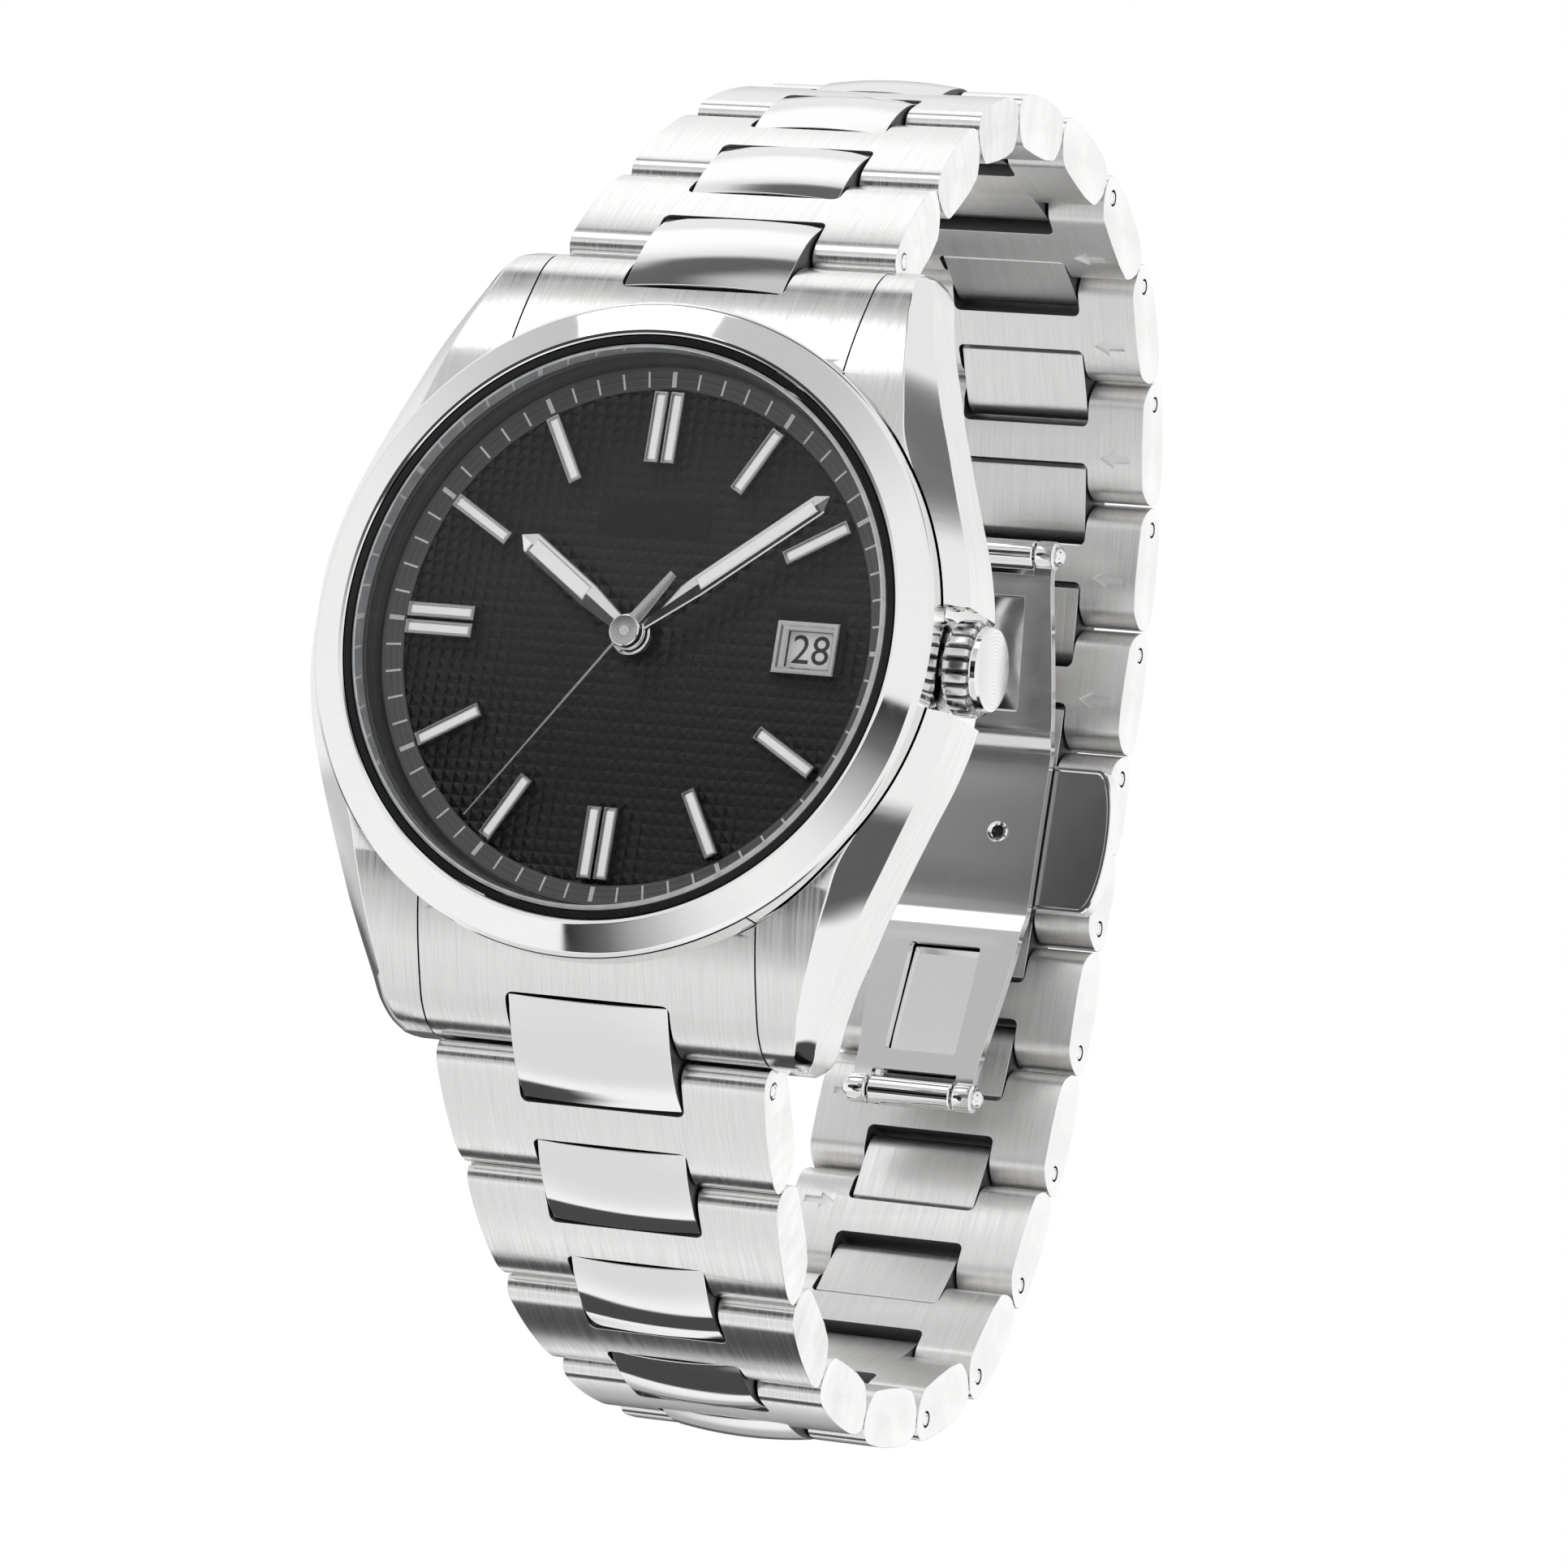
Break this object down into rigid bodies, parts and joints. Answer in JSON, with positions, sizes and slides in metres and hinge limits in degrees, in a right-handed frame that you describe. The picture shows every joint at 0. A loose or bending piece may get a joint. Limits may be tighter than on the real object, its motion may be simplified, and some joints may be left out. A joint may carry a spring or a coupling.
{
  "type": "wristwatch",
  "caption": "Round automatic wristwatch with three hands, a date window, a screw-down back, a tapering H-link steel bracelet and a butterfly clasp with side pushers.",
  "frame": {"origin": "centre of the case back's outer face", "axes": "+X toward three o'clock (the crown), +Z toward twelve o'clock, -Y out of the dial, +Y into the wrist"},
  "size_m": [0.0409, 0.062, 0.0818],
  "materials": {
    "brushed_steel": "brushed",
    "polished_steel": "polished",
    "dial_black": "matt",
    "flange_grey": "satin",
    "sapphire": "clear",
    "gasket": "matt",
    "white_plastic": "matt",
    "gilt": "satin"
  },
  "bodies": {
    "case": {"mid_case": "brushed_steel", "bezel": "polished_steel", "crystal": "sapphire", "crystal_gasket": "gasket", "rehaut_ring": "flange_grey", "dial": "dial_black", "movement_holder": "white_plastic", "movement_plate": "brushed_steel", "case_back": "polished_steel", "case_back_gasket": "gasket", "crown_tube": "polished_steel", "end_link_12": "brushed_steel", "end_link_6": "brushed_steel", "spring_bar_12": "brushed_steel", "spring_bar_6": "brushed_steel", "rotor_axle": "polished_steel"},
    "hour_hand": {"hour_hand": "polished_steel"},
    "minute_hand": {"minute_hand": "polished_steel"},
    "seconds_hand": {"seconds_hand": "polished_steel"},
    "date_disc": {"date_disc": "white_plastic"},
    "mainspring_barrel": {"mainspring_barrel": "gilt"},
    "balance_wheel": {"balance_wheel": "gilt"},
    "rotor": {"rotor": "brushed_steel"},
    "stem": {"winding_stem": "polished_steel"},
    "crown": {"crown": "polished_steel"},
    "link_12_01": {"link_12_01": "brushed_steel"},
    "link_12_02": {"link_12_02": "brushed_steel"},
    "link_12_03": {"link_12_03": "brushed_steel"},
    "link_12_04": {"link_12_04": "brushed_steel"},
    "link_12_05": {"link_12_05": "brushed_steel"},
    "link_12_06": {"link_12_06": "brushed_steel"},
    "link_12_07": {"link_12_07": "brushed_steel"},
    "link_12_08": {"link_12_08": "brushed_steel"},
    "link_12_09": {"link_12_09": "brushed_steel"},
    "link_12_10": {"link_12_10": "brushed_steel"},
    "link_12_11": {"link_12_11": "brushed_steel", "arm_pin_12": "polished_steel"},
    "link_6_01": {"link_6_01": "brushed_steel"},
    "link_6_02": {"link_6_02": "brushed_steel"},
    "link_6_03": {"link_6_03": "brushed_steel"},
    "link_6_04": {"link_6_04": "brushed_steel"},
    "link_6_05": {"link_6_05": "brushed_steel"},
    "link_6_06": {"link_6_06": "brushed_steel"},
    "link_6_07": {"link_6_07": "brushed_steel"},
    "link_6_08": {"link_6_08": "brushed_steel"},
    "link_6_09": {"link_6_09": "brushed_steel"},
    "link_6_10": {"link_6_10": "brushed_steel"},
    "link_6_11": {"link_6_11": "brushed_steel", "arm_pin_6": "polished_steel"},
    "clasp_arm_12": {"clasp_arm_12": "brushed_steel"},
    "clasp_arm_6": {"clasp_arm_6": "brushed_steel"},
    "clasp_frame": {"clasp_frame": "polished_steel", "clasp_pin_12": "polished_steel", "clasp_pin_6": "polished_steel"},
    "pusher_right": {"pusher_right": "polished_steel"},
    "pusher_left": {"pusher_left": "polished_steel"}
  },
  "joints": [
    {"name": "minute_hand_turn", "type": "hinge", "parent": "case", "child": "minute_hand", "pos_m": [0, -0.0084, 0], "axis": [0, 1, 0], "continuous": true},
    {"name": "hour_hand_turn", "type": "hinge", "parent": "case", "child": "hour_hand", "pos_m": [0, -0.0084, 0], "axis": [0, 1, 0], "continuous": true},
    {"name": "seconds_hand_turn", "type": "hinge", "parent": "case", "child": "seconds_hand", "pos_m": [0, -0.0084, 0], "axis": [0, 1, 0], "continuous": true},
    {"name": "date_disc_turn", "type": "hinge", "parent": "case", "child": "date_disc", "pos_m": [0, -0.0084, 0], "axis": [0, 1, 0], "continuous": true},
    {"name": "barrel_turn", "type": "hinge", "parent": "case", "child": "mainspring_barrel", "pos_m": [-0.005, -0.0041, 0.0052], "axis": [0, 1, 0], "continuous": true},
    {"name": "balance_swing", "type": "hinge", "parent": "case", "child": "balance_wheel", "pos_m": [0.0052, -0.0041, -0.0056], "axis": [0, 1, 0], "range_deg": [-150, 150], "stiffness_Nm_per_rad": 0.000002},
    {"name": "rotor_turn", "type": "hinge", "parent": "case", "child": "rotor", "pos_m": [0, -0.0021, 0], "axis": [0, 1, 0], "continuous": true},
    {"name": "crown_pull", "type": "slide", "parent": "case", "child": "stem", "axis": [1, 0, 0], "range_m": [0, 0.0011]},
    {"name": "crown_turn", "type": "hinge", "parent": "stem", "child": "crown", "pos_m": [0.02, -0.00593, 0], "axis": [1, 0, 0], "continuous": true},
    {"name": "link_12_01_hinge", "type": "hinge", "parent": "case", "child": "link_12_01", "pos_m": [0, -0.00194, 0.02388], "axis": [1, 0, 0], "range_deg": [0, 3.06]},
    {"name": "link_12_02_hinge", "type": "hinge", "parent": "link_12_01", "child": "link_12_02", "pos_m": [0, 0.00356, 0.02982], "axis": [1, 0, 0], "range_deg": [-7.98, 0]},
    {"name": "link_12_03_hinge", "type": "hinge", "parent": "link_12_02", "child": "link_12_03", "pos_m": [0, 0.00976, 0.03504], "axis": [1, 0, 0], "range_deg": [0, 3]},
    {"name": "link_12_04_hinge", "type": "hinge", "parent": "link_12_03", "child": "link_12_04", "pos_m": [0, 0.01721, 0.03822], "axis": [1, 0, 0], "range_deg": [0, 3]},
    {"name": "link_12_05_hinge", "type": "hinge", "parent": "link_12_04", "child": "link_12_05", "pos_m": [0, 0.02526, 0.03914], "axis": [1, 0, 0], "range_deg": [0, 3.24]},
    {"name": "link_12_06_hinge", "type": "hinge", "parent": "link_12_05", "child": "link_12_06", "pos_m": [0, 0.03325, 0.0378], "axis": [1, 0, 0], "range_deg": [0, 7.98]},
    {"name": "link_12_07_hinge", "type": "hinge", "parent": "link_12_06", "child": "link_12_07", "pos_m": [0, 0.04051, 0.03421], "axis": [1, 0, 0], "range_deg": [0, 12.12]},
    {"name": "link_12_08_hinge", "type": "hinge", "parent": "link_12_07", "child": "link_12_08", "pos_m": [0, 0.04526, 0.0279], "axis": [1, 0, 0], "range_deg": [0, 12.06]},
    {"name": "link_12_09_hinge", "type": "hinge", "parent": "link_12_08", "child": "link_12_09", "pos_m": [0, 0.048, 0.02049], "axis": [1, 0, 0], "range_deg": [0, 6.48]},
    {"name": "link_12_10_hinge", "type": "hinge", "parent": "link_12_09", "child": "link_12_10", "pos_m": [0, 0.04918, 0.01268], "axis": [1, 0, 0], "range_deg": [-3, 0]},
    {"name": "link_12_11_hinge", "type": "hinge", "parent": "link_12_10", "child": "link_12_11", "pos_m": [0, 0.04935, 0.00478], "axis": [1, 0, 0], "range_deg": [-3.84, 0]},
    {"name": "link_6_01_hinge", "type": "hinge", "parent": "case", "child": "link_6_01", "pos_m": [0, -0.00194, -0.02388], "axis": [-1, 0, 0], "range_deg": [0, 3.06]},
    {"name": "link_6_02_hinge", "type": "hinge", "parent": "link_6_01", "child": "link_6_02", "pos_m": [0, 0.00356, -0.02982], "axis": [-1, 0, 0], "range_deg": [-7.98, 0]},
    {"name": "link_6_03_hinge", "type": "hinge", "parent": "link_6_02", "child": "link_6_03", "pos_m": [0, 0.00976, -0.03504], "axis": [-1, 0, 0], "range_deg": [0, 3]},
    {"name": "link_6_04_hinge", "type": "hinge", "parent": "link_6_03", "child": "link_6_04", "pos_m": [0, 0.01721, -0.03822], "axis": [-1, 0, 0], "range_deg": [0, 3]},
    {"name": "link_6_05_hinge", "type": "hinge", "parent": "link_6_04", "child": "link_6_05", "pos_m": [0, 0.02526, -0.03914], "axis": [-1, 0, 0], "range_deg": [0, 3.24]},
    {"name": "link_6_06_hinge", "type": "hinge", "parent": "link_6_05", "child": "link_6_06", "pos_m": [0, 0.03325, -0.0378], "axis": [-1, 0, 0], "range_deg": [0, 7.98]},
    {"name": "link_6_07_hinge", "type": "hinge", "parent": "link_6_06", "child": "link_6_07", "pos_m": [0, 0.04051, -0.03421], "axis": [-1, 0, 0], "range_deg": [0, 12.12]},
    {"name": "link_6_08_hinge", "type": "hinge", "parent": "link_6_07", "child": "link_6_08", "pos_m": [0, 0.04526, -0.0279], "axis": [-1, 0, 0], "range_deg": [0, 12.06]},
    {"name": "link_6_09_hinge", "type": "hinge", "parent": "link_6_08", "child": "link_6_09", "pos_m": [0, 0.048, -0.02049], "axis": [-1, 0, 0], "range_deg": [0, 6.48]},
    {"name": "link_6_10_hinge", "type": "hinge", "parent": "link_6_09", "child": "link_6_10", "pos_m": [0, 0.04918, -0.01268], "axis": [-1, 0, 0], "range_deg": [-3, 0]},
    {"name": "link_6_11_hinge", "type": "hinge", "parent": "link_6_10", "child": "link_6_11", "pos_m": [0, 0.04935, -0.00478], "axis": [-1, 0, 0], "range_deg": [-3.84, 0]},
    {"name": "clasp_arm_12_hinge", "type": "hinge", "parent": "link_12_11", "child": "clasp_arm_12", "pos_m": [0, 0.04635, 0.002], "axis": [1, 0, 0], "range_deg": [0, 23.88]},
    {"name": "clasp_arm_6_hinge", "type": "hinge", "parent": "link_6_11", "child": "clasp_arm_6", "pos_m": [0, 0.04635, -0.002], "axis": [-1, 0, 0], "range_deg": [0, 23.88]},
    {"name": "clasp_open", "type": "hinge", "parent": "clasp_arm_12", "child": "clasp_frame", "pos_m": [0, 0.04235, 0.01715], "axis": [-1, 0, 0], "range_deg": [0, 60]},
    {"name": "pusher_right_press", "type": "slide", "parent": "clasp_frame", "child": "pusher_right", "axis": [-1, 0, 0], "range_m": [0, 0.0005], "stiffness_N_per_m": 400, "springref_m": -0.0002},
    {"name": "pusher_left_press", "type": "slide", "parent": "clasp_frame", "child": "pusher_left", "axis": [1, 0, 0], "range_m": [0, 0.0005], "stiffness_N_per_m": 400, "springref_m": -0.0002}
  ],
  "couplings": [
    {"joint": "hour_hand_turn", "follows": "minute_hand_turn", "ratio": 0.083333},
    {"joint": "link_12_01_hinge", "follows": "clasp_open", "ratio": 0.051},
    {"joint": "link_12_02_hinge", "follows": "clasp_open", "ratio": -0.133},
    {"joint": "link_12_03_hinge", "follows": "clasp_open", "ratio": 0.05},
    {"joint": "link_12_04_hinge", "follows": "clasp_open", "ratio": 0.05},
    {"joint": "link_12_05_hinge", "follows": "clasp_open", "ratio": 0.054},
    {"joint": "link_12_06_hinge", "follows": "clasp_open", "ratio": 0.133},
    {"joint": "link_12_07_hinge", "follows": "clasp_open", "ratio": 0.202},
    {"joint": "link_12_08_hinge", "follows": "clasp_open", "ratio": 0.201},
    {"joint": "link_12_09_hinge", "follows": "clasp_open", "ratio": 0.108},
    {"joint": "link_12_10_hinge", "follows": "clasp_open", "ratio": -0.05},
    {"joint": "link_12_11_hinge", "follows": "clasp_open", "ratio": -0.064},
    {"joint": "link_6_01_hinge", "follows": "clasp_open", "ratio": 0.051},
    {"joint": "link_6_02_hinge", "follows": "clasp_open", "ratio": -0.133},
    {"joint": "link_6_03_hinge", "follows": "clasp_open", "ratio": 0.05},
    {"joint": "link_6_04_hinge", "follows": "clasp_open", "ratio": 0.05},
    {"joint": "link_6_05_hinge", "follows": "clasp_open", "ratio": 0.054},
    {"joint": "link_6_06_hinge", "follows": "clasp_open", "ratio": 0.133},
    {"joint": "link_6_07_hinge", "follows": "clasp_open", "ratio": 0.202},
    {"joint": "link_6_08_hinge", "follows": "clasp_open", "ratio": 0.201},
    {"joint": "link_6_09_hinge", "follows": "clasp_open", "ratio": 0.108},
    {"joint": "link_6_10_hinge", "follows": "clasp_open", "ratio": -0.05},
    {"joint": "link_6_11_hinge", "follows": "clasp_open", "ratio": -0.064},
    {"joint": "clasp_arm_12_hinge", "follows": "clasp_open", "ratio": 0.398},
    {"joint": "clasp_arm_6_hinge", "follows": "clasp_open", "ratio": 0.398}
  ]
}
